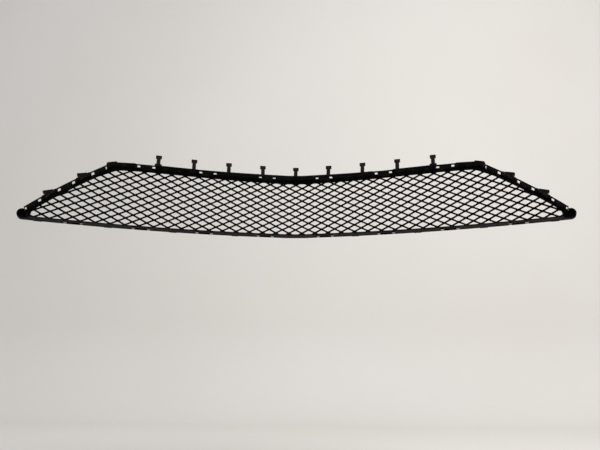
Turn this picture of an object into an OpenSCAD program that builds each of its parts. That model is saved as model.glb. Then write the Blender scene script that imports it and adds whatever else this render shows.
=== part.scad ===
// Lower bumper grille: a curved, shallow surround that holds a diamond mesh
// insert, with a row of clip tabs on top and wedge catches on both slanted ends.
// X runs across the car, +Y points to the road and Z is up. The underside of the
// lower rail is at Z = 0. Places are worked out as s, the distance along the
// curve from the middle, d, the depth towards the road, and z, the height.

/* [Outline] */
// Half length of the upper rail along the curve, middle to corner
top_half = 413; // [408:1:418]
// Half length of the lower edge along the curve, middle to end cap centre
bottom_half = 575; // [570:1:580]
// Height of the surround at the middle
mid_h = 138; // [134:0.5:142]
// Height of the surround at its upper corners
corner_h = 138.5; // [134:0.5:142]
// How far the upper rail rises between the middle and a corner
crown = 4.5; // [0:0.5:8]
// Height at which a slanted end meets its rounded nose
nose_h = 16.5; // [15:0.5:18]
// Radius of the gently bowed slanted ends
slant_r = 1080; // [900:10:2000]

/* [Plan curve] */
// Angle of each arm to the X axis next to the centre crease
crease_angle = 8.7; // [6:0.1:11]
// Half length of the rounded crease along the curve
crease_half = 17.5; // [12:0.5:25]
// Half length at which the straight arms begin to sweep back
sweep_start = 75; // [60:1:100]
// Radius of the swept arms
sweep_r = 2000; // [1800:10:2400]

/* [Rails] */
// Thickness of the rail walls
wall = 2; // [1.8:0.1:2.6]
// Depth of the upper and slanted walls behind the mesh
rear = 24.5; // [22:0.5:26]
// Extra depth of those walls between their windows
step = 3; // [2:0.5:4]
// Depth of the lower wall behind the mesh
rear_low = 22.5; // [21:0.5:24]
// Depth of the walls in front of the mesh
front = 5; // [4:0.5:7]
// Height of the front lip, measured from the outer face of the wall
lip_h = 7; // [6:0.5:11]
// Thickness of the front lip
lip_t = 3; // [2:0.1:3.2]

/* [Latch windows] */
// Spacing of the windows along the upper and lower rails
window_pitch = 136.5; // [134:0.5:138]
// Spacing of the windows along a slanted rail
side_pitch = 76; // [74:0.5:77]
// Length of a window
window_len = 38.5; // [34:0.5:40]
// Distance from the mesh back to the rear edge of a window
window_back = 19.5; // [18:0.5:20]
// Distance from the mesh back to the front edge of an upper window
window_front = 5.5; // [1:0.5:6]
// Width of a latch tongue
latch_w = 26; // [22:1:27]

/* [Mesh insert] */
// Width of a mesh cell along the curve
cell_w = 30; // [28:0.5:32]
// Height of a mesh cell
cell_h = 15.5; // [15:0.1:16]
// Width of a mesh strand
strand = 3.5; // [2.4:0.1:3.8]
// Thickness of the mesh
mesh_t = 3.2; // [2.6:0.1:3.4]
// Height of the rim around the mesh
rim_h = 3.4; // [3:0.1:5]

/* [Clip tabs] */
// Spacing of the clip tabs along the upper rail
tab_pitch = 79; // [76:0.5:80]
// Height of a clip tab above the rail
tab_h = 29; // [26:0.5:31]
// Width of a tab stem
tab_w = 8.5; // [7:0.5:10]
// Width of a tab head
head_w = 13; // [12:0.5:15]
// Forward lean of a tab in degrees
tab_lean = 22; // [16:1:26]

/* [Wedge catches] */
// Height of a wedge above its rail
wedge_h = 9.5; // [8:0.5:14]
// Width of the spring tongue that carries a wedge
tongue_w = 17; // [15:0.5:19]

/* [Underside pads] */
// Length of a pad on the front edge of the lower rail
pad_len = 16; // [10:1:20]
// How far a pad stands out in front of the rail
pad_out = 3; // [1:0.5:4]

/* [Hidden] */
$fn = 48;

plastic = [0.07, 0.07, 0.075];
plastic_mesh = [0.04, 0.04, 0.045];

// Small distances shared by several pieces
gap = 0.4;        // between a moving piece and its neighbour
cut = 1;          // how far a cutter runs past the face it opens
cap_r = 10.3;     // radius of the rounded nose
joint_line = 13;  // nose centre back to the end of the lower rail
cap_lap = 10;     // length of slanted wall that runs on over the end cap
cap_depth = 8;    // depth of the nose shell behind the mesh
block_back = 10;  // length of a corner block on the upper rail
block_down = 9;   // length of a corner block on the slanted rail
block_up = 2.2;   // height of a corner block above the upper rail
block_out = 4.5;  // height of a corner block above the slanted rail
block_depth = rear + step;
side_open = 1;    // mesh back to the front edge of a slanted window
low_open = -1.5;  // mesh back to the front edge of a lower window
crown_peak = 330; // distance from the middle at which the upper rail is highest

// Plan curve ---------------------------------------------------------------
crease_r = crease_half / (crease_angle * PI / 180);

// Angle of the curve to the X axis at distance a from the middle
function heading(a) = crease_angle * min(a, crease_half) / crease_half
    + max(0, a - sweep_start) / sweep_r * 180 / PI;

// Place along the curve of a point a >= 0 from the middle, as [x, y]
function arm(a) =
    a <= crease_half
        ? [crease_r * sin(heading(a)), -crease_r * (1 - cos(heading(a)))]
    : a <= sweep_start
        ? arm(crease_half) + (a - crease_half) * [cos(crease_angle), -sin(crease_angle)]
    : arm(sweep_start) + sweep_r * [sin(heading(a)) - sin(crease_angle),
                                    cos(heading(a)) - cos(crease_angle)];

// Signed heading, and the point at s along the curve, depth d and height z
function turn(s) = sign(s) * heading(abs(s));
function raw(s, d) = [sign(s) * arm(abs(s)).x + d * sin(turn(s)),
                      arm(abs(s)).y + d * cos(turn(s))];

// The origin lies midway between the crease and the rear of the end caps
y_shift = -(raw(0, front).y + raw(bottom_half + cap_r, -rear_low).y) / 2;
function at(s, d, z) = [raw(s, d).x, raw(s, d).y + y_shift, z];

// Height of the upper rail's outer face
function top_z(s) = mid_h + crown * pow(sin(90 * min(abs(s), crown_peak) / crown_peak), 2)
    - (mid_h + crown - corner_h)
      * pow(max(0, abs(s) - crown_peak) / (top_half - crown_peak), 2);

// Slanted ends: an arc bowed out from the chord between the corner and the nose
chord = norm([bottom_half - top_half, corner_h - nose_h]);
slant = atan((corner_h - nose_h) / (bottom_half - top_half));
function bow(t) = sqrt(pow(slant_r, 2) - pow(t - chord / 2, 2))
    - sqrt(pow(slant_r, 2) - pow(chord / 2, 2));

// Slope of the arc at t along the chord, and its point moved in by e, as [s, z]
function tilt(t) = slant + asin((t - chord / 2) / slant_r);
function slant_at(t, e = 0) =
    [top_half + t * cos(slant) + bow(t) * sin(slant) - e * sin(tilt(t)),
     corner_h - t * sin(slant) + bow(t) * cos(slant) - e * cos(tilt(t))];

// Place along the chord at which the arc reaches s
function slant_t(s) = let (t = (s - top_half) / cos(slant)) t - bow(t) * tan(slant);

// Windows and tabs ---------------------------------------------------------
top_windows = [for (k = [-2.5:2.5]) k * window_pitch];
bottom_windows = [for (k = [-3.5:3.5]) k * window_pitch];
first_window = 29.5;  // corner to the middle of the first slanted window
side_windows = [for (k = [0:2]) first_window + k * side_pitch];
tab_places = [for (k = [-4:4]) k * tab_pitch];
catch_shift = -2;     // catches lie this far from the middle between two windows
catch_places = [for (k = [0.5, 1.5]) first_window + k * side_pitch + catch_shift];

// Depth of the wall at u, with every window in a shallower stretch
function nearest(u, list) = min([for (w = list) abs(u - w)]);
function rear_at(u, list) =
    rear + step * min(1, max(0, nearest(u, list) - window_len / 2 - 3));

// Sorted stations from u0 to u1: an even division plus both ends of each step
function stations(u0, u1, pitch, list) =
    let (even = [for (k = [0:ceil((u1 - u0) / pitch)])
                 u0 + k * (u1 - u0) / ceil((u1 - u0) / pitch)],
         edges = [for (w = list, e = [-1, 1], o = [3, 4]) w + e * (window_len / 2 + o)],
         inner = [for (u = even) if (u == u0 || u == u1
                  || min([for (e = edges) abs(u - e)]) > 2) u])
    sorted(concat(inner, [for (e = edges) if (e > u0 && e < u1) e]));
function sorted(v) = len(v) <= 1 ? v
    : let (p = v[floor(len(v) / 2)])
      concat(sorted([for (x = v) if (x < p) x]), [p], sorted([for (x = v) if (x > p) x]));

// Building blocks ----------------------------------------------------------

// A solid through equal rings of six points, closed by two flat caps at each end: the first
// four points of a ring are its front foot, and the last three complete an L
module loft(rings) {
    n = len(rings[0]);
    last = len(rings) - 1;
    polyhedron(
        points = [for (ring = rings, p = ring) p],
        faces = concat(
            [[3, 2, 1, 0], [5, 4, 3, 0]],
            [for (i = [0:last - 1], k = [0:n - 1]) let (m = (k + 1) % n)
                each [[i * n + k, i * n + m, (i + 1) * n + m],
                      [i * n + k, (i + 1) * n + m, (i + 1) * n + k]]],
            [for (cap = [[0, 1, 2, 3], [0, 3, 4, 5]]) [for (k = cap) last * n + k]]));
}

// Section of a rail as [distance in from the outer face, depth]
function rail_section(back, out = 0) = [
    [-out, front], [lip_h, front], [lip_h, front - lip_t],
    [wall, front - lip_t], [wall, -back], [-out, -back]];

// One ring of a rail; in_s and in_z point from the outer face into the opening
function rail_ring(s, z, in_s, in_z, back, out = 0) =
    [for (p = rail_section(back, out)) at(s + p[0] * in_s, p[1], z + p[0] * in_z)];

// Puts its children at s, d and z, with X along the curve and Y to the road
module place(s, d, z, down = 0) {
    translate(at(s, d, z)) rotate([0, 0, -turn(s)]) rotate([0, down, 0]) children();
}

// The same on a slanted rail, at t along its chord
module place_side(t, d) {
    place(slant_at(t)[0], d, slant_at(t)[1], tilt(t)) children();
}

module window_cutter(open) {
    translate([-window_len / 2, -window_back, -wall - cut])
        cube([window_len, window_back - open, wall + 2 * cut]);
}

// Notch in the rear edge of a slanted rail for a catch tongue
module notch_cutter() {
    translate([-tongue_w / 2 - gap, -block_depth - cut, -wall - cut])
        cube([tongue_w + 2 * gap, block_depth - notch_end + cut, wall + 2 * cut]);
}
notch_end = 7;    // depth behind the mesh at which a notch ends

// Rails --------------------------------------------------------------------
rail_end = bottom_half - joint_line;
side_end = slant_t(rail_end + cap_lap);

module upper_rail() {
    u = top_half - block_back;
    color(plastic) difference() {
        loft([for (s = stations(-u, u, 40, top_windows))
            rail_ring(s, top_z(s), 0, -1, rear_at(s, top_windows))]);
        for (s = top_windows) place(s, 0, top_z(s)) window_cutter(window_front);
    }
}

// Outline in plan between two depths
module band(s, ahead, behind) {
    polygon(concat(
        [for (u = s) let (p = at(u, ahead, 0)) [p.x, p.y]],
        [for (k = [len(s) - 1:-1:0]) let (p = at(s[k], -behind, 0)) [p.x, p.y]]));
}

module lower_rail() {
    s = stations(-rail_end, rail_end, 40, bottom_windows);
    pads = [for (k = [-4:4]) if (k != 0) k * window_pitch];
    color(plastic) difference() {
        union() {
            linear_extrude(wall) band(s, front, rear_low);
            linear_extrude(lip_h) band(s, front, lip_t - front);
            for (u = pads) place(u, front - lip_t, 0) translate([-pad_len / 2, 0, 0])
                cube([pad_len, lip_t + pad_out, wall]);
        }
        for (s = bottom_windows) place(s, 0, wall) window_cutter(low_open);
    }
}

module side_rail() {
    color(plastic) difference() {
        loft([for (t = stations(block_down, side_end, 30, side_windows))
            rail_ring(slant_at(t)[0], slant_at(t)[1], -sin(tilt(t)), -cos(tilt(t)),
                      rear_at(t, side_windows))]);
        for (t = side_windows) place_side(t, 0) window_cutter(side_open);
        for (t = catch_places) place_side(t, 0) notch_cutter();
        // The end cap closes the front beyond the lower rail
        place(rail_end, front - lip_t, 0) cube([joint_line, lip_t + cut, corner_h]);
    }
}

// Raised block over the corner where the upper and slanted rails meet
module corner_block() {
    u = top_half - block_back;
    t = block_down;
    color(plastic) loft([
        rail_ring(u, top_z(u), 0, -1, block_depth, block_up),
        rail_ring(top_half, corner_h, -tan(tilt(0) / 2), -1, block_depth, block_up),
        rail_ring(slant_at(t)[0], slant_at(t)[1], -sin(tilt(t)), -cos(tilt(t)),
                  block_depth, block_out)]);
}

// Rounded nose: a front plate with a wall behind its rim, open towards the rails
module end_cap() {
    color(plastic) place(rail_end, 0, 0) union() {
        slab(front - lip_t, front) union() {
            translate([joint_line, cap_r]) circle(cap_r);
            polygon([[0, 0], [joint_line, 0], [joint_line, cap_r],
                     for (t = [side_end, slant_t(rail_end)]) slant_at(t) - [rail_end, 0]]);
        }
        slab(-cap_depth, front - lip_t) difference() {
            union() {
                translate([joint_line, cap_r]) circle(cap_r);
                square([joint_line, wall]);
            }
            translate([joint_line, cap_r]) circle(cap_r - wall);
            translate([-cut, wall]) square([cap_lap + cut, 2 * cap_r]);
        }
    }
}

// Extrudes an outline of [along, height] between two depths
module slab(from, to) {
    translate([0, to, 0]) rotate([90, 0, 0]) linear_extrude(to - from) children();
}

// Mesh insert ---------------------------------------------------------------
seat = wall + 0.3;    // outer edge of the insert, in from the outer faces
tip = bottom_half - 7; // end of the insert, inside the end cap
row_droop = 4;        // fall of the mesh rows from the middle to the ends
row_mid = 72.5;       // height of the cell at the middle of the mesh
panel = 39;           // length of the straight panels that follow the curve
panel_count = 15;     // panels on each side of the middle
deep = 400;           // length of a cutter that runs right through

// Right half of the outline, moved in by e, as points [s, z]
function half_outline(e) =
    let (corner = top_half - e * tan(tilt(0) / 2),
         slope = [for (k = [8:-1:1]) slant_at(chord * k / 8, e)],
         top = [for (k = [12:-1:0]) let (s = corner * k / 12) [s, top_z(s) - e]],
         kept = clip(concat([[bottom_half, e]], slope, top, [[0, e]]), [[-1, 0], -tip]))
    concat([[tip, e]], [for (p = kept) if (p.y > e) p]);

// Part of a convex polygon on the inner side of a line, given as [normal, offset]
function clip(poly, line) = len(poly) == 0 ? [] : [for (k = [0:len(poly) - 1])
    let (p = poly[k], q = poly[(k + 1) % len(poly)],
         a = p * line[0] - line[1], b = q * line[0] - line[1])
    each concat(a >= 0 ? [p] : [], a * b < 0 ? [p + (q - p) * a / (a - b)] : [])];

// Opening of the mesh cell around s and z, clipped to the rim of the insert
function cell(s, z, e) =
    let (k = 1 - strand * norm([cell_w, cell_h]) / (cell_w * cell_h),
         w = cell_w / 2 * k, h = cell_h / 2 * k,
         t = min(chord, max(0, (abs(s) - top_half) * cos(slant) + (corner_h - z) * sin(slant))),
         way = [-sin(tilt(t)), -cos(tilt(t))])
    clip(clip(clip(clip([[s + w, z], [s, z + h], [s - w, z], [s, z - h]],
        [[0, 1], e]), [[0, -1], e - top_z(s)]),
        [[way.x * (s < 0 ? -1 : 1), way.y], slant_at(t) * way + e]),
        [[-sign(s), 0], -tip + e - seat]);
function spread(poly, i) = len(poly) < 3 ? 0
    : max([for (p = poly) p[i]]) - min([for (p = poly) p[i]]);

// A prism through the whole part along Y, from an outline of points [s, z]
module through(outline) {
    translate([0, deep / 2, 0]) rotate([90, 0, 0]) linear_extrude(deep)
        polygon([for (p = outline) [raw(p.x, 0).x, p.y]]);
}

module mesh_insert() {
    right = half_outline(seat);
    s = [for (k = [-panel_count:panel_count + 1]) (k - 0.5) * panel];
    columns = ceil(2 * bottom_half / cell_w);
    rows = ceil(mid_h / cell_h);
    color(plastic_mesh) difference() {
        intersection() {
            linear_extrude(mid_h + crown) polygon([
                for (v = s) let (p = at(v, -mesh_t / 2, 0)) [p.x, p.y],
                for (k = [len(s) - 1:-1:0]) let (p = at(s[k], mesh_t / 2, 0)) [p.x, p.y]]);
            through(concat(right, [for (k = [len(right) - 1:-1:0])
                if (right[k].x > 0) [-right[k].x, right[k].y]]));
        }
        for (c = [-columns:columns], r = [-rows:rows]) if ((c + r) % 2 == 0) {
            u = c * cell_w / 2;
            z = row_mid + r * cell_h / 2 - row_droop * abs(u) / bottom_half;
            hole = cell(u, z, seat + rim_h);
            if (spread(hole, 0) > 2 && spread(hole, 1) > 2) through(hole);
        }
    }
}

// Snap tongue of the insert: straight back inside the wall, then out into a window
module latch(open) {
    root = mesh_t / 2 + 0.1;
    bend = max(root, open) + 0.5;
    reach = window_back - latch_gap;
    level = -seat - latch_drop;
    color(plastic_mesh) translate([-latch_w / 2, 0, 0])
        rotate([90, 0, 90]) linear_extrude(latch_w) polygon([
            [-root, level], [-root, level - latch_t], [-bend, level - latch_t],
            [-reach, -latch_t], [-reach, 0], [-bend, level]]);
}
latch_t = 1.6;        // thickness of a snap tongue
latch_drop = 0.25;    // clearance under its wall, beyond that of the insert
latch_gap = 3;        // gap between the end of a tongue and its window
module latch_top(k) place(top_windows[k], 0, top_z(top_windows[k])) latch(window_front);
module latch_bottom(k) mirror([0, 0, 1]) place(bottom_windows[k], 0, 0) latch(low_open);
module latch_side(k) place_side(side_windows[k], 0) latch(side_open);

// Clip tabs -------------------------------------------------------------------
tab_t = 2.8;          // thickness of a tab stem
foot_r = 1.7;         // radius of a tab's foot, which its flex turns about
head_h = 6.5;         // height of the T-shaped head
head_lap = 1;         // stretch of stem that the head covers, and its rear bevel
head_out = 2.5;       // overhang of the head towards the road
head_soft = 1.5;      // front bevel of the head
head_top = 2;         // flat on top of the head
tab_d = -21;          // depth of the foot
base_h = 4.5;         // height of the base under the outermost tabs
base_len = 15;        // length of that base
base_depth = 7;       // depth of that base

// Height of a tab's turning axis above Z = 0
function foot_z(k) = top_z(tab_places[k]) + foot_r + gap
    + (k == 0 || k == len(tab_places) - 1 ? base_h : 0);

module clip_tab(k) {
    s = tab_places[k];
    rise = top_z(s) + tab_h - foot_z(k);
    slope = tan(tab_lean);
    neck = rise - head_h;
    color(plastic) place(s, tab_d, foot_z(k)) union() {
        rotate([0, 90, 0]) cylinder(r = foot_r, h = tab_w, center = true);
        profile(tab_w) polygon([
            [-foot_r, 0], [foot_r, 0],
            [neck * slope + tab_t / 2, neck], [neck * slope - tab_t / 2, neck]]);
        profile(head_w) polygon([
            [neck * slope - tab_t / 2, neck - head_lap],
            [neck * slope + tab_t / 2 + head_out, neck - head_lap],
            [rise * slope + head_soft, rise - head_soft], [rise * slope, rise],
            [rise * slope - head_top, rise],
            [rise * slope - head_top - head_lap, rise - head_lap]]);
    }
}

// Extrudes a profile of [depth, height] by w, centred on the curve
module profile(w) {
    translate([-w / 2, 0, 0]) rotate([90, 0, 90]) linear_extrude(w) children();
}

module tab_base() {
    s = tab_places[len(tab_places) - 1];
    z = top_z(s);
    color(plastic) place(s, tab_d - base_depth / 2, z) translate([-base_len / 2, 0, 0])
        cube([base_len, base_depth, base_h]);
}

// Wedge catches ---------------------------------------------------------------
tongue_t = 2;         // thickness of a catch tongue
hinge_r = 1.1;        // radius of the tongue's root, which its flex turns about
hinge_d = -notch_end - gap - hinge_r;
wedge_d = 1.5;        // distance of the wedge behind the root
wedge_out = 2.5;      // overhang of the wedge's tip, down the slope
wedge_rise = 5;       // height at which the overhang starts, clear of the rail when flexed
wedge_foot = 1;       // height of the wedge's low end above the tongue

module catch(k) {
    long = block_depth + hinge_d;
    color(plastic) place_side(catch_places[k], hinge_d)
        translate([0, 0, -wall / 2]) union() {
            rotate([0, 90, 0]) cylinder(r = hinge_r, h = tongue_w, center = true);
            translate([-tongue_w / 2, -long, -tongue_t / 2])
                cube([tongue_w, long, tongue_t]);
            translate([0, -wedge_d, 0]) rotate([90, 0, 0]) linear_extrude(long - wedge_d)
                polygon([[tongue_w / 2, 0], [tongue_w / 2, wedge_rise],
                         [tongue_w / 2 + wedge_out, wedge_h],
                         [-tongue_w / 2, tongue_t / 2 + wedge_foot], [-tongue_w / 2, 0]]);
        }
}

// The left-hand pieces mirror the right-hand ones
module left() mirror([1, 0, 0]) children();

upper_rail();
lower_rail();
left() side_rail();  // side_rail_left
side_rail();  // side_rail_right
left() corner_block();  // corner_block_left
corner_block();  // corner_block_right
left() end_cap();  // end_cap_left
end_cap();  // end_cap_right
mesh_insert();
latch_top(0);  // latch_top_1
latch_top(1);  // latch_top_2
latch_top(2);  // latch_top_3
latch_top(3);  // latch_top_4
latch_top(4);  // latch_top_5
latch_top(5);  // latch_top_6
latch_bottom(0);  // latch_bottom_1
latch_bottom(1);  // latch_bottom_2
latch_bottom(2);  // latch_bottom_3
latch_bottom(3);  // latch_bottom_4
latch_bottom(4);  // latch_bottom_5
latch_bottom(5);  // latch_bottom_6
latch_bottom(6);  // latch_bottom_7
latch_bottom(7);  // latch_bottom_8
left() latch_side(0);  // latch_left_1
left() latch_side(1);  // latch_left_2
left() latch_side(2);  // latch_left_3
latch_side(0);  // latch_right_1
latch_side(1);  // latch_right_2
latch_side(2);  // latch_right_3
left() tab_base();  // tab_base_left
tab_base();  // tab_base_right
clip_tab(0);  // clip_tab_1
clip_tab(1);  // clip_tab_2
clip_tab(2);  // clip_tab_3
clip_tab(3);  // clip_tab_4
clip_tab(4);  // clip_tab_5
clip_tab(5);  // clip_tab_6
clip_tab(6);  // clip_tab_7
clip_tab(7);  // clip_tab_8
clip_tab(8);  // clip_tab_9
left() catch(0);  // catch_left_upper
left() catch(1);  // catch_left_lower
catch(0);  // catch_right_upper
catch(1);  // catch_right_lower
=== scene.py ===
"""Looks of the lower bumper grille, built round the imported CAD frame.

Every moulding is drawn flat and then bent onto the grille's curve. In flat space X is s, the
distance along the curve from the middle, Y is d, the depth towards the road, and Z is the height.
"""
import math

import bmesh
import bpy
import numpy as np
from mathutils import Matrix, Vector


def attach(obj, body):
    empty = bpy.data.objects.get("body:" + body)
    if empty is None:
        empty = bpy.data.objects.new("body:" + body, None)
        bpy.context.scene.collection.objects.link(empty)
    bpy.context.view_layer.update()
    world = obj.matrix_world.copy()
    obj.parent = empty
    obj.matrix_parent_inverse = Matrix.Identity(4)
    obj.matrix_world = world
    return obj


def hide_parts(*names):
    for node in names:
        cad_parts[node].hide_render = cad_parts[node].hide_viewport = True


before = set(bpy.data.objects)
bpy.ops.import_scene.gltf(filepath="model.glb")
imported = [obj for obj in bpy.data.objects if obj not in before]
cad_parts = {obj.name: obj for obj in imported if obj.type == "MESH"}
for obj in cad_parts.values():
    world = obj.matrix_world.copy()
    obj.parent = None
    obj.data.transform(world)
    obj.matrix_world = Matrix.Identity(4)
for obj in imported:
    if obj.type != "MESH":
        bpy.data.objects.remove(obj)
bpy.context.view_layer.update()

MM = 0.001

# Driving dimensions of the grille, in metres ------------------------------------------------------
TOP_HALF = 413 * MM        # middle to the upper corner, along the curve
BOTTOM_HALF = 575 * MM     # middle to the centre of the rounded nose
MID_H = 138 * MM           # height at the middle
CORNER_H = 138.5 * MM      # height at the upper corners
HALF_WAY = 60 * MM         # the upper pieces of the lip are cut from what lies above this height
CROWN = 4.5 * MM           # rise of the upper rail
CROWN_PEAK = 330 * MM      # where the upper rail is highest
NOSE_H = 16.5 * MM         # height of a slanted end at the nose
SLANT_R = 1080 * MM        # radius of the bowed slanted ends
CREASE_ANGLE = math.radians(8.7)
CREASE_HALF = 17.5 * MM    # middle to the end of the crease
SWEEP_START = 75 * MM      # the curve is straight between the crease and this place
SWEEP_R = 2000 * MM

WALL = 2 * MM
REAR = 24.5 * MM           # depth of the walls behind the mesh
STEP = 3 * MM              # extra depth between the windows
DEEP_BACK = REAR + STEP
REAR_LOW = 22.5 * MM       # depth of the lower wall behind the mesh
FRONT = 5 * MM             # depth of the front lip's outer face
LIP_H = 7 * MM
LIP_T = 3 * MM
WALL_FRONT = FRONT - LIP_T + 0.8 * MM      # the walls run 0.8 mm into the lip
NOSE_R = 10.3 * MM
NOSE_END = 48              # degrees up the nose at which its round ends
JOINT_LINE = 13 * MM       # nose centre back to the end of the lower rail
CAP_LAP = 10 * MM          # slanted wall that runs on over the end cap
CAP_DEPTH = 8 * MM         # depth of the nose shell behind the mesh
RAIL_END = BOTTOM_HALF - JOINT_LINE

BLOCK_BACK = 10 * MM       # corner back to the end of the upper rail
BLOCK_DOWN = 9 * MM        # corner down to the start of the slanted rail
BLOCK_PROUD = 0.2 * MM     # the corner block starts this far above the upper rail
BLOCK_RISE = 2.2 * MM      # and steps up to this height
BLOCK_STEP = 1 * MM        # length of that step
BLOCK_CREST = (15 * MM, 0.2 * MM)          # along from the joint, down from the corner's height
BLOCK_BROW = (20 * MM, 1.8 * MM)           # the same for the end of its bevel
BLOCK_FOOT = 4.5 * MM      # its skin runs this far over the slanted rail
BLOCK_TOE = (0.3 * MM, 0.6 * MM)           # and ends this far outside it
RIM_SPLIT_IN = 11 * MM     # a cut this far inside the chord parts the slanted rim from the rest

WINDOW_PITCH = 136.5 * MM
SIDE_PITCH = 76 * MM       # pitch in the slanted rails
FIRST_WINDOW = 29.5 * MM   # upper corner to the middle of the first slanted window
WINDOW_LEN = 38.5 * MM
WINDOW_BACK = 19.5 * MM    # depth of the windows' rear edge
WINDOW_ROUND = 1.2 * MM
WINDOW_SPARE = 3.5 * MM    # the wall stays shallow this far past each end of a window
STEP_RUN = 0.6 * MM        # half the length of the step to the deeper wall
TOP_OPEN, SIDE_OPEN, LOW_OPEN = 5.5 * MM, 1 * MM, -1.5 * MM     # depth of their front edges
NOTCH_H = 3.6 * MM         # notches of the lower lip beside the tongues
LATCH_W = 26 * MM
LATCH_T = 1.6 * MM
LATCH_ROOT = 0.4 * MM      # a tongue starts this far inside the mesh insert
LATCH_BEND = 0.5 * MM      # and runs level to this far behind the mesh and the window's front
LATCH_GAP = 3 * MM         # from its end to the rear edge of the window
LATCH_EDGE = 0.35 * MM
LATCH_DROP = 0.25 * MM     # clearance of a tongue under its wall, beyond that of the insert
SEAT = WALL + 0.3 * MM     # outer edge of the mesh insert, in from the outer faces

CELL_W, CELL_H = 30 * MM, 15.5 * MM
STRAND = 3.5 * MM
MESH_T = 3.2 * MM
MESH_EDGE = 0.8 * MM       # rounding of the strands
CELL_ROUND = 1.6 * MM
CELL_MIN = 2 * MM          # cells cut smaller than this stay closed
RIM_H = 3.4 * MM
ROW_MID = 72.5 * MM        # height of a row of crossings, at the middle
ROW_DROOP = 4 * MM         # how far the rows fall by the nose
MESH_END = BOTTOM_HALF - 7 * MM

TAB_PITCH = 79 * MM
TAB_H = 29 * MM
TAB_W = 8.5 * MM
TAB_T = 2.8 * MM
TAB_LEAN = math.radians(22)
TAB_D = -21 * MM           # depth at which the tabs stand
HEAD_W = 13 * MM
HEAD_H = 6.5 * MM
HEAD_LAP = 1 * MM          # the head and the stem run this far into each other
HEAD_OUT = 2.5 * MM        # lower edge of the head, in front of the stem
HEAD_TOP = 2 * MM          # top of the head, behind the lean of the stem
RIB_W, RIB_OUT, RIB_START = 2 * MM, 1.2 * MM, 1 * MM
RIB_FOOT = 0.6             # of the foot's radius, from its centre to the rib's lower end
RIB_EDGE = 0.4 * MM
FOOT_R = 1.7 * MM
GAP = 0.4 * MM             # clearance under a tab's foot and round a catch
BASE_H = 4.5 * MM
BASE_LEN = 15 * MM
BASE_DEPTH = 7 * MM

WEDGE_H = 9.5 * MM
WEDGE_D = 1.5 * MM         # hinge to the front of the wedge
WEDGE_OUT = 2.5 * MM       # the wedge's tip hangs this far past its tongue
WEDGE_RISE = 5 * MM        # it rises straight to here before it hangs over
WEDGE_FOOT = 1 * MM        # height of its low end above the tongue
CATCH_SHIFT = -2 * MM      # catches lie this far from the middle between two windows
TONGUE_W = 17 * MM
TONGUE_T = 2 * MM
TONGUE_FRONT = 0.8         # of the hinge radius, from the hinge to the tongue's front edge
NOTCH_END = 7 * MM         # depth at which the notch round a catch starts
HINGE_R = 1.1 * MM
PAD_LEN, PAD_OUT = 16 * MM, 3 * MM         # pads on the lower edge, and how far they stand out
PAD_ROUND = 0.8 * MM

EDGE = 0.5 * MM            # rounding of the moulded edges
BEVEL_STEPS = 1
SMALL_ROUND = 1 * MM       # rounding of the corners of bases and tongues
SMOOTH_ANGLE = math.radians(35)            # sharper edges than this stay sharp
OVERRUN = 4 * MM           # plates are drawn this far past a joint and cut there
CLEAR = 1 * MM             # inner outlines start this far past a corner
MERGE = 0.02 * MM          # vertices closer than this become one
CUT, SLICE = 1e-7, 1e-6    # vertices this close to a cut count as on it, in metres
STATION = 20 * MM          # spacing of the cuts that let a flat piece bend
FLAT_HALF = 19.5 * MM      # the rails and the mesh run straight across the crease up to here
TOP_STEPS = 60             # points along the upper rail
REACH_STEPS = 40           # points along the inner side of a slanted end
TINY = 1e-9                # keeps the middle from being divided by zero


# The curve and the outline ------------------------------------------------------------------------
def heading(a):
    """Angle of the curve to the X axis at distance a from the middle."""
    crease = CREASE_ANGLE * np.minimum(a, CREASE_HALF) / CREASE_HALF
    return crease + np.maximum(0, a - SWEEP_START) / SWEEP_R


def arm(a):
    """Place along the right-hand arm at distance a from the middle."""
    crease_r = CREASE_HALF / CREASE_ANGLE
    turned = heading(a)
    bent = np.minimum(turned, CREASE_ANGLE)
    straight = np.clip(a - CREASE_HALF, 0, SWEEP_START - CREASE_HALF)
    swept = np.maximum(turned, CREASE_ANGLE)
    x = (crease_r * np.sin(bent) + straight * math.cos(CREASE_ANGLE)
         + SWEEP_R * (np.sin(swept) - math.sin(CREASE_ANGLE)))
    y = (-crease_r * (1 - np.cos(bent)) - straight * math.sin(CREASE_ANGLE)
         + SWEEP_R * (np.cos(swept) - math.cos(CREASE_ANGLE)))
    return x, y


def depth_y(a, d):
    """Y of the point at depth d, before the curve is placed on the origin."""
    return arm(a)[1] + d * np.cos(heading(a))


# Y = 0 lies midway between the lip at the middle and the lower rear depth at the noses.
Y_SHIFT = -(depth_y(0.0, FRONT) + depth_y(BOTTOM_HALF + NOSE_R, -REAR_LOW)) / 2


def bend_points(flat, straight=FLAT_HALF):
    """Moves flat points [s, d, z] onto the grille's curve, made straight up to that distance."""
    flat = np.asarray(flat, float).reshape(-1, 3)
    s, d = flat[:, 0], flat[:, 1]
    a = np.maximum(np.abs(s), max(straight, TINY))
    return np.stack([s / a * (arm(a)[0] + d * np.sin(heading(a))),
                     depth_y(a, d) + Y_SHIFT, flat[:, 2]], axis=1)


def top_z(s):
    """Height of the upper rail's outer face."""
    a = np.abs(s)
    rise = CROWN * np.sin(math.pi / 2 * np.minimum(a, CROWN_PEAK) / CROWN_PEAK) ** 2
    fall = MID_H + CROWN - CORNER_H
    return MID_H + rise - fall * (np.maximum(0, a - CROWN_PEAK) / (TOP_HALF - CROWN_PEAK)) ** 2


CHORD = math.hypot(BOTTOM_HALF - TOP_HALF, CORNER_H - NOSE_H)
SLANT = math.atan2(CORNER_H - NOSE_H, BOTTOM_HALF - TOP_HALF)


def bow(t):
    """Height of the bowed end over its chord."""
    return np.sqrt(SLANT_R ** 2 - (t - CHORD / 2) ** 2) - math.sqrt(SLANT_R ** 2 - (CHORD / 2) ** 2)


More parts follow.
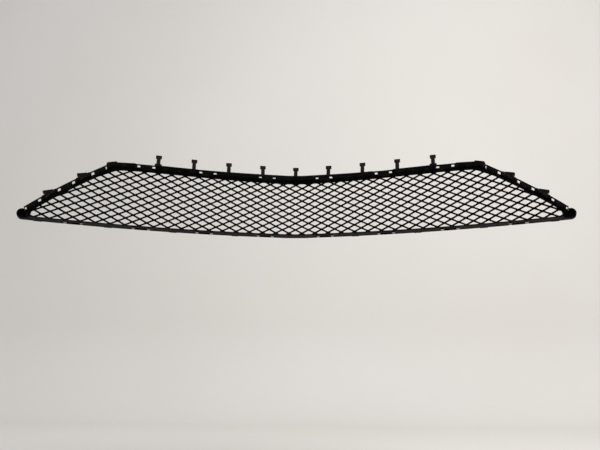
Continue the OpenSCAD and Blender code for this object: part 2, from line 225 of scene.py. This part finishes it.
def tilt(t):
    """Slope of a slanted end at t along its chord."""
    return SLANT + np.arcsin((t - CHORD / 2) / SLANT_R)


def slant_at(t, e=0.0):
    """Point of the slanted end at t along its chord, moved in by e, as (s, z)."""
    s = TOP_HALF + t * math.cos(SLANT) + bow(t) * math.sin(SLANT) - e * np.sin(tilt(t))
    z = CORNER_H - t * math.sin(SLANT) + bow(t) * math.cos(SLANT) - e * np.cos(tilt(t))
    return s, z


def slant_t(s):
    """Place along the chord at which the slanted end reaches s."""
    t = (s - TOP_HALF) / math.cos(SLANT)
    return t - bow(t) * math.tan(SLANT)


def past(t, e=0.0):
    """Point of the chord of the slanted end, moved in by e."""
    return Vector(CORNER) + t * Vector(CHORD_ALONG) - e * Vector(CHORD_OUT)


CORNER = (TOP_HALF, CORNER_H, 0)
CHORD_ALONG = (math.cos(SLANT), -math.sin(SLANT), 0)
CHORD_OUT = (math.sin(SLANT), math.cos(SLANT), 0)
SIDE_END = slant_t(RAIL_END + CAP_LAP)
TOP_WINDOWS = [(k - 2.5) * WINDOW_PITCH for k in range(6)]
LOW_WINDOWS = [(k - 3.5) * WINDOW_PITCH for k in range(8)]
SIDE_WINDOWS = [FIRST_WINDOW + k * SIDE_PITCH for k in range(3)]
CATCHES = [FIRST_WINDOW + k * SIDE_PITCH + CATCH_SHIFT for k in (0.5, 1.5)]
TABS = [(k - 4) * TAB_PITCH for k in range(9)]


# Mesh tools ---------------------------------------------------------------------------------------
def mirrored(points):
    """The same points on the other side of the middle."""
    return [(-p[0], *p[1:]) for p in points]


def arc(centre, radius, start, end, steps):
    """Points on an arc, angles in degrees."""
    return [(centre[0] + radius * math.cos(a), centre[1] + radius * math.sin(a))
            for a in map(math.radians, np.linspace(start, end, steps))]


def rounded_box(x0, y0, x1, y1, radius, steps=4):
    """Outline of a rectangle with round corners, each of that many points."""
    corners = [(x1 - radius, y0 + radius, -90), (x1 - radius, y1 - radius, 0),
               (x0 + radius, y1 - radius, 90), (x0 + radius, y0 + radius, 180)]
    return [p for x, y, a in corners for p in arc((x, y), radius, a, a + 90, steps)]


def plate(loops, thickness, edge=EDGE):
    """A flat plate in XY, centred on Z = 0, with rounded edges round its outline and holes."""
    curve = bpy.data.curves.new("plate", "CURVE")
    curve.dimensions = "2D"
    curve.fill_mode = "BOTH"
    curve.extrude = thickness / 2 - edge
    curve.bevel_depth = edge
    curve.bevel_resolution = BEVEL_STEPS
    curve.offset = -edge
    for loop in loops:
        spline = curve.splines.new("POLY")
        spline.points.add(len(loop) - 1)
        for point, place in zip(spline.points, loop):
            point.co = (place[0], place[1], 0, 1)
        spline.use_cyclic_u = True
    holder = bpy.data.objects.new("plate", curve)
    bpy.context.scene.collection.objects.link(holder)
    bpy.context.view_layer.update()
    finished = holder.evaluated_get(bpy.context.evaluated_depsgraph_get())
    mesh = bpy.data.meshes.new_from_object(finished)
    bm = bmesh.new()
    bm.from_mesh(mesh)
    bpy.data.objects.remove(holder)
    bpy.data.curves.remove(curve)
    bpy.data.meshes.remove(mesh)
    bmesh.ops.remove_doubles(bm, verts=bm.verts, dist=MERGE)
    bmesh.ops.recalc_face_normals(bm, faces=bm.faces)
    return bm


def remap(bm, rule):
    """Sends every vertex through rule, which takes and returns arrays of points."""
    co = np.array([v.co for v in bm.verts], float).reshape(-1, 3)
    for v, place in zip(bm.verts, rule(co)):
        v.co = place
    return bm


def stand_up(bm, d):
    """Turns a plate drawn as (s, z) to stand across the depth, centred on d."""
    remap(bm, lambda co: np.stack([co[:, 0], d - co[:, 2], co[:, 1]], axis=1))


def profile_solid(profile, width, edge=EDGE):
    """Extrudes a profile of (depth, height) across X, with rounded edges."""
    bm = plate([profile], width, edge)
    return remap(bm, lambda co: np.stack([co[:, 2], co[:, 0], co[:, 1]], axis=1))


def cap(bm):
    """Closes the open edges that a cut leaves."""
    edges = [e for e in bm.edges if e.is_boundary]
    if edges:
        bmesh.ops.holes_fill(bm, edges=edges, sides=0)


def keep(bm, *planes):
    """Cuts away what lies beyond each plane, given as (point, normal), and closes the cuts."""
    for point, normal in planes:
        geom = bm.verts[:] + bm.edges[:] + bm.faces[:]
        bmesh.ops.bisect_plane(bm, geom=geom, dist=CUT, plane_co=point, plane_no=normal,
                               clear_outer=True)
        cap(bm)
    return bm


def sliced(bm):
    """Cuts a flat piece across at stations, so that it can follow the curve."""
    xs = [v.co.x for v in bm.verts]
    first, last = math.floor(min(xs) / STATION) + 1, math.ceil(max(xs) / STATION)
    stations = [k * STATION for k in range(first, last) if abs(k) > 1]
    for x in [-FLAT_HALF, FLAT_HALF] + stations:
        if min(xs) < x < max(xs):
            geom = bm.verts[:] + bm.edges[:] + bm.faces[:]
            bmesh.ops.bisect_plane(bm, geom=geom, dist=SLICE, plane_co=(x, 0, 0), plane_no=(1, 0, 0))
    return bm


def joined(*parts):
    """One mesh of several, which are used up."""
    whole = bmesh.new()
    for part in parts:
        mesh = bpy.data.meshes.new("part")
        part.to_mesh(mesh)
        whole.from_mesh(mesh)
        part.free()
        bpy.data.meshes.remove(mesh)
    return whole


def mirror(bm):
    """Turns a right-hand piece into its left-hand twin."""
    remap(bm, lambda co: co * (-1, 1, 1))
    bmesh.ops.reverse_faces(bm, faces=bm.faces)
    return bm


def piece(name, bm, material, body, slot, *nodes):
    """Makes the finished object of a mesh, which stands for CAD nodes and rides a body."""
    bmesh.ops.recalc_face_normals(bm, faces=bm.faces)
    mesh = bpy.data.meshes.new(name)
    bm.to_mesh(mesh)
    bm.free()
    mesh.materials.append(material)
    obj = bpy.data.objects.new(name, mesh)
    bpy.context.scene.collection.objects.link(obj)
    mesh.shade_smooth()
    mesh.set_sharp_from_angle(angle=SMOOTH_ANGLE)
    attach(obj, body)
    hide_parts(*nodes)


def local_frame(s, d, z, down=0.0):
    """Frame at s, d and z, with X along the curve and Y to the road, turned down about Y."""
    angle = math.copysign(float(heading(abs(s))), s) if s else 0.0
    place = bend_points([(s, d, z)], 0)[0]
    return (Matrix.Translation(Vector(place)) @ Matrix.Rotation(-angle, 4, "Z")
            @ Matrix.Rotation(down, 4, "Y"))


def placed(bm, matrix):
    """Moves a finished mesh."""
    bmesh.ops.transform(bm, matrix=matrix, verts=bm.verts)
    return bm


# Materials ----------------------------------------------------------------------------------------
def new_material(name):
    """A material with its nodes and links."""
    material = bpy.data.materials.new(name)
    material.use_nodes = True
    return material, material.node_tree.nodes, material.node_tree.links


def noise(nodes, links, place, scale, detail):
    """Noise between 0 and 1."""
    tex = nodes.new("ShaderNodeTexNoise")
    tex.inputs["Scale"].default_value = scale
    tex.inputs["Detail"].default_value = detail
    links.new(place, tex.inputs["Vector"])
    return tex.outputs["Fac"]


def spread(nodes, links, value, before, after):
    """Maps value from the range before to the range after, clamped."""
    node = nodes.new("ShaderNodeMapRange")
    for socket, number in zip(("From Min", "From Max", "To Min", "To Max"), (*before, *after)):
        node.inputs[socket].default_value = number
    links.new(value, node.inputs["Value"])
    return node.outputs["Result"]


def times(nodes, links, a, b):
    """Product of two values."""
    node = nodes.new("ShaderNodeMath")
    node.operation = "MULTIPLY"
    links.new(a, node.inputs[0])
    links.new(b, node.inputs[1])
    return node.outputs[0]


def mixed(nodes, links, factor, a, b):
    """Mixes colour a into colour b. Each is a colour socket or a plain colour."""
    node = nodes.new("ShaderNodeMix")
    node.data_type = "RGBA"
    links.new(factor, node.inputs["Factor"])
    for key, colour in (("A", a), ("B", b)):
        socket = [i for i in node.inputs if i.name == key and i.type == "RGBA"][0]
        if isinstance(colour, tuple):
            socket.default_value = (*colour, 1)
        else:
            links.new(colour, socket)
    return [o for o in node.outputs if o.type == "RGBA"][0]


def bump(nodes, links, height, strength, distance):
    """Bump node over a height."""
    node = nodes.new("ShaderNodeBump")
    node.inputs["Strength"].default_value = strength
    node.inputs["Distance"].default_value = distance
    links.new(height, node.inputs["Height"])
    return node


# What the black plastics share
SHINE = 0.015
WORN = (0.02, 0.02, 0.0205)
DUST = (0.10, 0.096, 0.088)
ROUGH_SPREAD = (-0.06, 0.08)           # roughness of the patches, about its middle value


def moulded(name, dark, light, rough, grain):
    """Moulded black plastic: flow marks, fine grain, worn edges and a trace of dust on top."""
    material, nodes, links = new_material(name)
    shader = nodes["Principled BSDF"]
    place = nodes.new("ShaderNodeTexCoord").outputs["Object"]
    geometry = nodes.new("ShaderNodeNewGeometry")

    flow = noise(nodes, links, place, scale=14, detail=4)
    colour = mixed(nodes, links, spread(nodes, links, flow, (0.35, 0.65), (0, 1)), dark, light)

    edge = spread(nodes, links, geometry.outputs["Pointiness"], (0.53, 0.6), (0, 0.55))
    scuff = noise(nodes, links, place, scale=420, detail=2)
    edge = times(nodes, links, edge, spread(nodes, links, scuff, (0.35, 0.7), (0.2, 1)))
    colour = mixed(nodes, links, edge, colour, WORN)

    facing = nodes.new("ShaderNodeSeparateXYZ")
    links.new(geometry.outputs["Normal"], facing.inputs[0])
    dust = spread(nodes, links, facing.outputs["Z"], (0.6, 1), (0, 0.16))
    fleck = noise(nodes, links, place, scale=60, detail=5)
    dust = times(nodes, links, dust, spread(nodes, links, fleck, (0.4, 0.7), (0, 1)))
    links.new(mixed(nodes, links, dust, colour, DUST), shader.inputs["Base Color"])

    patch = noise(nodes, links, place, scale=85, detail=3)
    around = [rough + change for change in ROUGH_SPREAD]
    links.new(spread(nodes, links, patch, (0.3, 0.7), around), shader.inputs["Roughness"])
    shader.inputs["Specular IOR Level"].default_value = SHINE

    fine = bump(nodes, links, noise(nodes, links, place, grain, detail=2), 0.35, 0.06 * MM)
    wave = bump(nodes, links, noise(nodes, links, place, scale=55, detail=2), 0.25, 0.25 * MM)
    links.new(fine.outputs["Normal"], wave.inputs["Normal"])
    links.new(wave.outputs["Normal"], shader.inputs["Normal"])
    return material


frame_plastic = moulded("frame_plastic", (0.003, 0.003, 0.0032), (0.006, 0.006, 0.0063), 0.46, 1500)
mesh_plastic = moulded("mesh_plastic", (0.0025, 0.0025, 0.0028), (0.0045, 0.0045, 0.0047), 0.44, 1900)
clip_plastic = moulded("clip_plastic", (0.0035, 0.0035, 0.0035), (0.007, 0.007, 0.0068), 0.42, 1700)


# The front lip, one outline cut into the pieces of the surround -----------------------------------
def top_edge(half, e):
    """Points along the upper rail from right to left, e in from its outer face."""
    return [(float(s), float(top_z(s)) - e) for s in np.linspace(half, -half, TOP_STEPS)]


def slant_edge(t0, t1, e, steps=24):
    """Points along a slanted end, e in from its outer face."""
    return [tuple(float(v) for v in slant_at(t, e)) for t in np.linspace(t0, t1, steps)]


def corner_half(e):
    """Half length of the upper rail e in from its outer face."""
    return TOP_HALF - e * math.tan(tilt(0.0) / 2)


def past_corner(e):
    """First place along the chord clear of the corner, e in from the outer faces."""
    return e * math.tan(tilt(0.0) / 2) + CLEAR


def underside():
    """Lower edge of the lip from left to right, notched at both ends of each window."""
    points = []
    for w in LOW_WINDOWS:
        for side in (-1, 1):
            middle = w + side * (LATCH_W + WINDOW_LEN) / 4
            for x, z in ((-1, 0), (-1, NOTCH_H), (1, NOTCH_H), (1, 0)):
                points.append((middle + x * (WINDOW_LEN - LATCH_W) / 4, z))
    return points


def lip_loops():
    """Outer and inner outline of the front lip."""
    nose = arc((BOTTOM_HALF, NOSE_R), NOSE_R, -90, NOSE_END, steps=16)
    up = nose + slant_edge(SIDE_END, past_corner(0), 0)
    outer = up + top_edge(TOP_HALF, 0) + mirrored(reversed(up)) + underside()
    low = [(RAIL_END - 1 * MM, LIP_H), (RAIL_END, LIP_H + 1 * MM)]
    slope = slant_edge(CHORD, past_corner(LIP_H), LIP_H, REACH_STEPS)
    up = low + [p for p in slope if p[0] < RAIL_END - 0.5 * MM]
    inner = up + top_edge(corner_half(LIP_H), LIP_H) + mirrored(reversed(up))
    return [outer, inner]


def lip(*planes):
    """The part of the front lip inside the planes, stood up in flat space."""
    bm = plate(lip_loops(), LIP_T)
    keep(bm, *planes)
    stand_up(bm, FRONT - LIP_T / 2)
    return bm


def bent(bm):
    """Bends a flat piece onto the curve."""
    return remap(sliced(bm), bend_points)


def opposite(v):
    """Vector that points the other way."""
    return tuple(-x for x in v)


# Planes, as (point, normal), that cut the pieces of the lip apart
UPPER_HALF = ((0, HALF_WAY, 0), (0, -1, 0))
LOWER_RIM = ((0, LIP_H + 0.3 * MM, 0), (0, 1, 0))
SLANTED_RIM = (past(0, RIM_SPLIT_IN), opposite(CHORD_OUT))


# Rails --------------------------------------------------------------------------------------------
def rear_edge(u0, u1, windows):
    """Rear edge of a wall from u0 to u1, shallower at the windows."""
    half = WINDOW_LEN / 2 + WINDOW_SPARE
    points = [(u0, -DEEP_BACK)]
    for w in windows:
        for a, first, second in ((w - half, DEEP_BACK, REAR), (w + half, REAR, DEEP_BACK)):
            for u, depth in ((a - STEP_RUN, first), (a + STEP_RUN, second)):
                if u0 < u < u1:
                    points.append((u, -depth))
    points.append((u1, -REAR if u1 - windows[-1] < half else -DEEP_BACK))
    return points


def windows_in(places, front, last=math.inf):
    """Window outlines in a wall drawn as (u, d), which end at last."""
    return [rounded_box(w - WINDOW_LEN / 2, -WINDOW_BACK, min(w + WINDOW_LEN / 2, last), -front,
                        WINDOW_ROUND) for w in places]


def across(end):
    """Planes that end a piece at the same distance on both sides."""
    return ((end, 0, 0), (1, 0, 0)), ((-end, 0, 0), (-1, 0, 0))


def upper_rail():
    """L section under the upper edge, with six windows."""
    end = TOP_HALF - BLOCK_BACK
    over = end + OVERRUN
    outline = rear_edge(-over, over, TOP_WINDOWS) + [(over, WALL_FRONT), (-over, WALL_FRONT)]
    wall = plate([outline, *windows_in(TOP_WINDOWS, TOP_OPEN)], WALL)
    keep(wall, *across(end))

    def crown(co):
        return np.stack([co[:, 0], co[:, 1], top_z(co[:, 0]) - WALL / 2 + co[:, 2]], axis=1)

    remap(wall, crown)
    return bent(joined(wall, lip(*across(end), UPPER_HALF)))


def pad(middle):
    """Small pad that stands out from the lower edge."""
    outline = rounded_box(middle - PAD_LEN / 2, FRONT - LIP_T / 2, middle + PAD_LEN / 2, FRONT + PAD_OUT,
                          PAD_ROUND)
    return remap(plate([outline], WALL), lambda co: co + (0, 0, WALL / 2))


def lower_rail():
    """L section on the level lower edge, with eight windows."""
    over = RAIL_END + OVERRUN
    outline = [(-over, -REAR_LOW), (over, -REAR_LOW), (over, WALL_FRONT), (-over, WALL_FRONT)]
    wall = plate([outline, *windows_in(LOW_WINDOWS, LOW_OPEN)], WALL)
    keep(wall, *across(RAIL_END))
    remap(wall, lambda co: co + (0, 0, WALL / 2))
    pads = [pad(k * WINDOW_PITCH) for k in range(-4, 5) if k]
    return bent(joined(wall, lip(*across(RAIL_END), LOWER_RIM), *pads))


def side_rail():
    """Slanted rail, with three windows and a notch round each catch."""
    start, end = BLOCK_DOWN - OVERRUN, SIDE_END
    rear = rear_edge(start, end, SIDE_WINDOWS)
    outline = []
    for k, point in enumerate(rear):
        outline.append(point)
        for c in CATCHES:
            if point[0] < c and k + 1 < len(rear) and rear[k + 1][0] > c:
                half = TONGUE_W / 2 + GAP
                outline += [(c - half, -DEEP_BACK), (c - half, -NOTCH_END),
                            (c + half, -NOTCH_END), (c + half, -DEEP_BACK)]
    outline += [(end, WALL_FRONT), (start, WALL_FRONT)]
    wall = plate([outline, *windows_in(SIDE_WINDOWS, SIDE_OPEN, end - WINDOW_ROUND)], WALL)
    keep(wall, ((BLOCK_DOWN, 0, 0), (-1, 0, 0)))
    sliced(wall)

    def roll(co):
        s, z = slant_at(co[:, 0], WALL / 2 - co[:, 2])
        return np.stack([s, co[:, 1], z], axis=1)

    remap(wall, roll)
    rim = lip((past(BLOCK_DOWN), opposite(CHORD_ALONG)), ((RAIL_END, 0, 0), (1, 0, 0)), SLANTED_RIM)
    return bent(joined(wall, rim))


def corner_block():
    """Raised block over the corner: its wall is drawn as seen from the front."""
    u = TOP_HALF - BLOCK_BACK
    joint_z = float(top_z(u))
    foot = BLOCK_DOWN + BLOCK_FOOT
    low_s, low_z = slant_edge(foot, foot, 0, 1)[0]
    outer = [(u, joint_z + BLOCK_PROUD), (u + BLOCK_STEP, joint_z + BLOCK_RISE),
             (u + BLOCK_CREST[0], CORNER_H - BLOCK_CREST[1]), (u + BLOCK_BROW[0], CORNER_H - BLOCK_BROW[1]),
             (low_s + BLOCK_TOE[0], low_z + BLOCK_TOE[1])]
    inner = [*slant_edge(foot, past_corner(WALL), WALL, 4), (corner_half(WALL), CORNER_H - WALL),
             (u, joint_z - WALL)]
    depth = DEEP_BACK + WALL_FRONT
    block = plate([outer + inner], depth)
    stand_up(block, WALL_FRONT - depth / 2)
    crown = plate([outer + inner], LIP_T)
    stand_up(crown, FRONT - LIP_T / 2)
    rim = lip(((u, 0, 0), (-1, 0, 0)), (past(BLOCK_DOWN), CHORD_ALONG), UPPER_HALF)
    return bent(joined(block, crown, rim))


def end_cap():
    """Rounded nose: the front plate and the wall behind its rim."""
    rim = lip(((RAIL_END, 0, 0), (-1, 0, 0)))
    top = math.degrees(math.acos((RAIL_END + CAP_LAP - BOTTOM_HALF) / NOSE_R))
    outer = [(RAIL_END, 0)] + arc((BOTTOM_HALF, NOSE_R), NOSE_R, -90, top, steps=22)
    inner = arc((BOTTOM_HALF, NOSE_R), NOSE_R - WALL, top, -90, steps=22) + [(RAIL_END, WALL)]
    depth = CAP_DEPTH + WALL_FRONT
    wall = plate([outer + inner], depth)
    stand_up(wall, WALL_FRONT - depth / 2)
    return bent(joined(rim, wall))


# Mesh insert --------------------------------------------------------------------------------------
def clip_polygon(points, normal, offset):
    """Part of a convex polygon with point . normal >= offset."""
    kept = []
    for k, p in enumerate(points):
        q = points[(k + 1) % len(points)]
        a, b = np.dot(p, normal) - offset, np.dot(q, normal) - offset
        if a >= 0:
            kept.append(p)
        if a * b < 0:
            kept.append(tuple(np.array(p) + (np.array(q) - np.array(p)) * a / (a - b)))
    return kept


def softened(points, radius, share=0.35):
    """Rounds the corners of a polygon with short curves, which take up to a share of each side."""
    out = []
    for k, p in enumerate(points):
        p = np.array(p)
        before, after = np.array(points[k - 1]), np.array(points[(k + 1) % len(points)])
        a = before - p
        b = after - p
        ra = min(radius, np.linalg.norm(a) * share)
        rb = min(radius, np.linalg.norm(b) * share)
        start = p + a / np.linalg.norm(a) * ra
        end = p + b / np.linalg.norm(b) * rb
        out += [tuple(start), tuple(start * 0.25 + p * 0.5 + end * 0.25), tuple(end)]
    return out


def cell(s, z):
    """Opening of the mesh cell round (s, z), clipped to the rim of the right-hand half."""
    shrink = 1 - STRAND * math.hypot(CELL_W, CELL_H) / (CELL_W * CELL_H)
    w, h = CELL_W / 2 * shrink, CELL_H / 2 * shrink
    e = SEAT + RIM_H
    points = [(s + w, z), (s, z + h), (s - w, z), (s, z - h)]
    points = clip_polygon(points, (0, 1), e)
    points = clip_polygon(points, (0, -1), e - float(top_z(s)))
    t = (s - TOP_HALF) * math.cos(SLANT) + (CORNER_H - z) * math.sin(SLANT)
    t = min(CHORD, max(0.0, t))
    way = (-math.sin(tilt(t)), -math.cos(tilt(t)))
    points = clip_polygon(points, way, float(np.dot(slant_at(t), way)) + e)
    return clip_polygon(points, (-1, 0), -(MESH_END - RIM_H))


def cells():
    """Openings of the whole mesh: the right-hand half, its mirror image and the middle column."""
    found = []
    columns, rows = math.ceil(2 * BOTTOM_HALF / CELL_W), math.ceil(MID_H / CELL_H)
    for c in range(columns + 1):
        for r in range(-rows, rows + 1):
            if (c + r) % 2:
                continue
            s = c * CELL_W / 2
            points = cell(s, ROW_MID + r * CELL_H / 2 - ROW_DROOP * s / BOTTOM_HALF)
            if len(points) < 3:
                continue
            wide, tall = np.ptp(np.array(points), axis=0)
            if min(wide, tall) > CELL_MIN:
                loop = softened(points, CELL_ROUND)
                found.append(loop)
                if c:
                    found.append(mirrored(reversed(loop)))
    return found


def mesh_insert():
    """Diamond mesh with its own rim."""
    up = [p for p in slant_edge(CHORD, past_corner(SEAT), SEAT, REACH_STEPS) if p[0] < MESH_END]
    up = [(MESH_END, SEAT), (MESH_END, up[0][1])] + up
    outline = up + top_edge(corner_half(SEAT), SEAT) + mirrored(reversed(up))
    bm = plate([outline, *cells()], MESH_T, MESH_EDGE)
    stand_up(bm, 0)
    return bent(bm)


# Latch tongues ------------------------------------------------------------------------------------
def latch(front, matrix):
    """Snap tongue in a window whose front edge lies at that depth."""
    root = MESH_T / 2 - LATCH_ROOT
    bend = max(MESH_T / 2, front) + LATCH_BEND
    reach = WINDOW_BACK - LATCH_GAP
    level = -SEAT - LATCH_DROP
    profile = [(-root, level), (-bend, level), (-reach, 0), (-reach, -LATCH_T), (-bend, level - LATCH_T),
               (-root, level - LATCH_T)]
    return placed(profile_solid(profile, LATCH_W, LATCH_EDGE), matrix)


def latch_matrix(kind, k):
    """Frame on the outer face of a rail, at the middle of a window."""
    if kind == "top":
        return local_frame(TOP_WINDOWS[k], 0, float(top_z(TOP_WINDOWS[k])))
    if kind == "bottom":
        return local_frame(LOW_WINDOWS[k], 0, 0) @ Matrix.Scale(-1, 4, (0, 0, 1))
    s, z = slant_at(SIDE_WINDOWS[k])
    return local_frame(float(s), 0, float(z), float(tilt(SIDE_WINDOWS[k])))


# Clip tabs and catches ----------------------------------------------------------------------------
def foot_z(k):
    """Height of a tab's foot, which stands on the rail or on a base."""
    return float(top_z(TABS[k])) + FOOT_R + GAP + (BASE_H if k in (0, len(TABS) - 1) else 0)


def clip_tab(k):
    """T-headed tab on a round foot, which its flex turns about."""
    rise = float(top_z(TABS[k])) + TAB_H - foot_z(k)
    neck = rise - HEAD_H
    slope = math.tan(TAB_LEAN)
    half = TAB_T / 2
    at_neck, at_top = neck * slope, rise * slope
    foot = arc((0, 0), FOOT_R, 200, 340, steps=8)
    stem = profile_solid([*foot, (at_neck + half, neck + HEAD_LAP), (at_neck - half, neck + HEAD_LAP)],
                         TAB_W)
    rib = profile_solid([(FOOT_R * RIB_FOOT, RIB_START), (at_neck + half + RIB_OUT, neck), (at_neck, neck),
                         (0, RIB_START)], RIB_W, RIB_EDGE)
    head = profile_solid([(at_neck - half, neck - HEAD_LAP), (at_neck + half + HEAD_OUT, neck - HEAD_LAP),
                          (at_top + 1.5 * MM, rise - 1.5 * MM), (at_top + 0.6 * MM, rise - 0.2 * MM),
                          (at_top - HEAD_TOP, rise), (at_top - HEAD_TOP - 1 * MM, rise - 1 * MM)], HEAD_W)
    return placed(joined(stem, rib, head), local_frame(TABS[k], TAB_D, foot_z(k)))


def tab_base(sign):
    """Wider base under an outermost tab."""
    s = sign * TABS[-1]
    outline = rounded_box(-BASE_LEN / 2, -BASE_DEPTH / 2, BASE_LEN / 2, BASE_DEPTH / 2, SMALL_ROUND)
    return placed(plate([outline], BASE_H), local_frame(s, TAB_D, float(top_z(s)) + BASE_H / 2))


def catch(k):
    """Spring tongue with a wedge, in the frame of the slanted rail."""
    t = CATCHES[k]
    hinge_d = -NOTCH_END - GAP - HINGE_R
    long = DEEP_BACK + hinge_d
    half = TONGUE_W / 2
    tongue = plate([rounded_box(-half, -long, half, HINGE_R * TONGUE_FRONT, SMALL_ROUND)], TONGUE_T)
    tip = half + WEDGE_OUT
    blunt = [(tip, WEDGE_H - 1.6 * MM), (tip - 0.8 * MM, WEDGE_H - 0.5 * MM),
             (tip - 3 * MM, WEDGE_H - 0.9 * MM)]
    wedge = plate([[(half, 0), (half, WEDGE_RISE), *blunt, (-half, TONGUE_T / 2 + WEDGE_FOOT),
                    (-half, 0)]], long - WEDGE_D)
    middle = -(WEDGE_D + long) / 2
    remap(wedge, lambda co: np.stack([co[:, 0], middle - co[:, 2], co[:, 1]], axis=1))
    s, z = slant_edge(t, t, 0, 1)[0]
    place = local_frame(s, hinge_d, z, float(tilt(t))) @ Matrix.Translation((0, 0, -WALL / 2))
    return placed(joined(tongue, wedge), place)


# Assembly -----------------------------------------------------------------------------------------
def frame_piece(name, shape):
    """Part of the surround."""
    piece(f"{name}_moulding", shape, frame_plastic, "surround", "frame", name)


def build_surround():
    """Rails, corner blocks, end caps and tab bases."""
    frame_piece("upper_rail", upper_rail())
    frame_piece("lower_rail", lower_rail())
    for make, name in ((side_rail, "side_rail"), (corner_block, "corner_block"), (end_cap, "end_cap")):
        frame_piece(f"{name}_right", make())
        frame_piece(f"{name}_left", mirror(make()))
    frame_piece("tab_base_right", tab_base(1))
    frame_piece("tab_base_left", tab_base(-1))


def build_insert():
    """Mesh insert and its twenty snap tongues."""
    piece("mesh_insert_moulding", mesh_insert(), mesh_plastic, "surround", "mesh", "mesh_insert")
    for kind, windows, front in (("top", TOP_WINDOWS, TOP_OPEN), ("bottom", LOW_WINDOWS, LOW_OPEN),
                                 ("right", SIDE_WINDOWS, SIDE_OPEN), ("left", SIDE_WINDOWS, SIDE_OPEN)):
        for k in range(len(windows)):
            shape = latch(front, latch_matrix(kind, k))
            if kind == "left":
                mirror(shape)
            name = f"latch_{kind}_{k + 1}"
            piece(f"{name}_tongue", shape, mesh_plastic, "surround", "mesh", name)


def build_clips():
    """Clip tabs and wedge catches, each on a body of its own."""
    for k in range(len(TABS)):
        name = f"clip_tab_{k + 1}"
        piece(f"{name}_moulding", clip_tab(k), clip_plastic, name, "clip", name)
    for k, level in enumerate(("upper", "lower")):
        for side in ("right", "left"):
            name = f"catch_{side}_{level}"
            shape = catch(k) if side == "right" else mirror(catch(k))
            piece(f"{name}_moulding", shape, clip_plastic, name, "clip", name)


# Stage, light and camera --------------------------------------------------------------------------
FLOOR_Z = -0.5             # the camera looks up at the grille, so the floor lies below both
WALL_Y = 1.9
COVE_R = 0.5               # round between the floor and the backdrop
STAGE_HALF = 9.0
STAGE_FRONT = -5.0
STAGE_TOP = 4.0
SHEET_DARK = (0.70, 0.677, 0.63)
SHEET_LIGHT = (0.76, 0.748, 0.72)
ROOM_COLOUR = (0.93, 0.94, 1.0)
ROOM_STRENGTH = 0.62


def build_stage():
    """Pale sheet: a floor that curves up into a backdrop."""
    material, nodes, links = new_material("pale_sheet")
    shader = nodes["Principled BSDF"]
    place = nodes.new("ShaderNodeTexCoord").outputs["Object"]
    cloud = noise(nodes, links, place, scale=0.9, detail=2)
    links.new(mixed(nodes, links, cloud, SHEET_DARK, SHEET_LIGHT), shader.inputs["Base Color"])
    shader.inputs["Roughness"].default_value = 0.9
    profile = [(STAGE_FRONT, FLOOR_Z)]
    profile += arc((WALL_Y - COVE_R, FLOOR_Z + COVE_R), COVE_R, -90, 0, steps=16)
    profile += [(WALL_Y, STAGE_TOP)]
    bm = bmesh.new()
    rows = [[bm.verts.new((x, y, z)) for x in (-STAGE_HALF, STAGE_HALF)] for y, z in profile]
    for low, high in zip(rows, rows[1:]):
        bm.faces.new((low[0], low[1], high[1], high[0]))
    mesh = bpy.data.meshes.new("backdrop")
    bm.to_mesh(mesh)
    bm.free()
    mesh.materials.append(material)
    mesh.shade_smooth()
    sheet = bpy.data.objects.new("backdrop", mesh)
    bpy.context.scene.collection.objects.link(sheet)


def area_light(name, place, target, size, power, colour):
    """Rectangular light at a place, aimed at its target."""
    light = bpy.data.lights.new(name, "AREA")
    light.shape = "RECTANGLE"
    light.size, light.size_y = size
    light.energy = power
    light.color = colour
    lamp = bpy.data.objects.new(name, light)
    bpy.context.scene.collection.objects.link(lamp)
    lamp.location = place
    lamp.rotation_euler = (Vector(target) - Vector(place)).to_track_quat("-Z", "Y").to_euler()


def build_light():
    """Soft room, one large key light from the front right and a weak one on the backdrop."""
    world = bpy.data.worlds.new("soft_room")
    world.use_nodes = True
    background = world.node_tree.nodes["Background"]
    background.inputs["Color"].default_value = (*ROOM_COLOUR, 1)
    background.inputs["Strength"].default_value = ROOM_STRENGTH
    bpy.context.scene.world = world
    area_light("key", place=(1.6, -1.6, 2.2), target=(0.1, 0.2, 0.0), size=(2.0, 1.4),
               power=84, colour=(1.0, 0.97, 0.93))
    area_light("wall_wash", place=(1.0, 0.5, 2.6), target=(0.6, 1.8, 0.3), size=(3.0, 1.0),
               power=3, colour=(1.0, 0.98, 0.95))


LENS, SENSOR = 31.8, 36.0  # focal length and sensor width, in mm
CAMERA_PLACE = (0.0391, -1.0824, -0.3161)
CAMERA_TURN = math.radians(1.412)      # to the left of straight ahead
CAMERA_RISE = math.radians(16.563)     # looking up
CAMERA_ROLL = math.radians(0.417)


def build_camera():
    """Camera below the part, looking up at it."""
    data = bpy.data.cameras.new("camera")
    data.lens = LENS
    data.sensor_width = SENSOR
    camera = bpy.data.objects.new("camera", data)
    bpy.context.scene.collection.objects.link(camera)
    camera.matrix_world = (Matrix.Translation(CAMERA_PLACE) @ Matrix.Rotation(CAMERA_TURN, 4, "Z")
                           @ Matrix.Rotation(math.pi / 2 + CAMERA_RISE, 4, "X")
                           @ Matrix.Rotation(CAMERA_ROLL, 4, "Z"))
    bpy.context.scene.camera = camera


bpy.context.scene.view_settings.view_transform = "Standard"
build_camera()
build_stage()
build_light()
build_surround()
build_insert()
build_clips()
